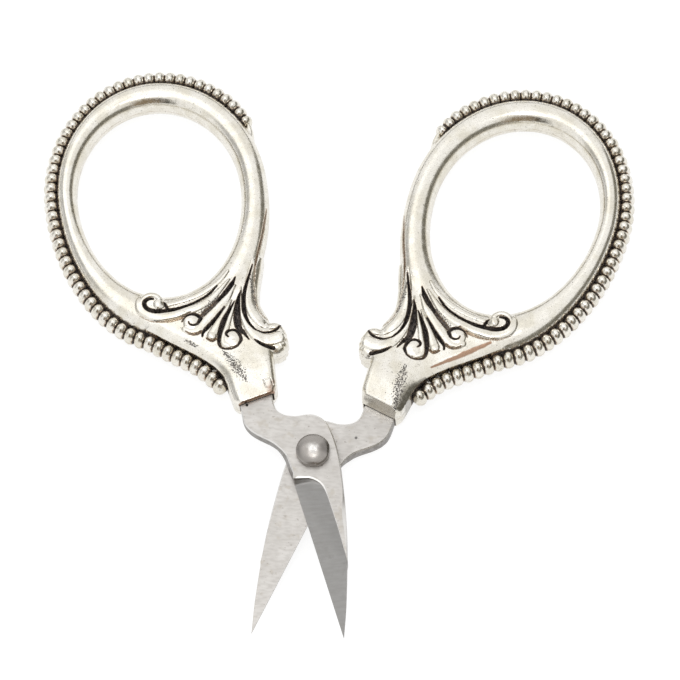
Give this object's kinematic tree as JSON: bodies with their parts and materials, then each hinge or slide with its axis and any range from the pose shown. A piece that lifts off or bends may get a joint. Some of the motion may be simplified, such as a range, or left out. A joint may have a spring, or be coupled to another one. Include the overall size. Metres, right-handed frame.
{
  "type": "embroidery scissors",
  "caption": "Small embroidery scissors with slim pointed steel blades on a domed rivet and antique-silver cast handles with oval finger rings, beaded rims and scroll fans.",
  "frame": {"origin": "on the pivot axis, at the flat back of the rivet", "axes": "+Z along the pivot axis out of the front face, -Y midway between the blade points, +X to the right with the front face up and the points towards the reader"},
  "size_m": [0.094, 0.0947, 0.0068],
  "materials": {
    "blade_steel": "satin ground steel with fine transverse grinding lines",
    "antique_silver": "antique silver plate on a zinc alloy casting, near-black oxide left in the recesses",
    "tang_adhesive": "cured brown adhesive",
    "rivet_steel": "turned and lightly polished steel"
  },
  "bodies": {
    "rear_half": {"rear_blade": "blade_steel", "right_handle": "antique_silver", "right_tang_bond": "tang_adhesive", "pivot_rivet": "rivet_steel", "pivot_washer": "rivet_steel"},
    "front_half": {"front_blade": "blade_steel", "left_handle": "antique_silver", "left_tang_bond": "tang_adhesive"}
  },
  "joints": [
    {"name": "blade_pivot", "type": "hinge", "parent": "rear_half", "child": "front_half", "pos_m": [0, 0, 0.00313], "axis": [0, 0, 1], "range_deg": [-27, 50]}
  ]
}
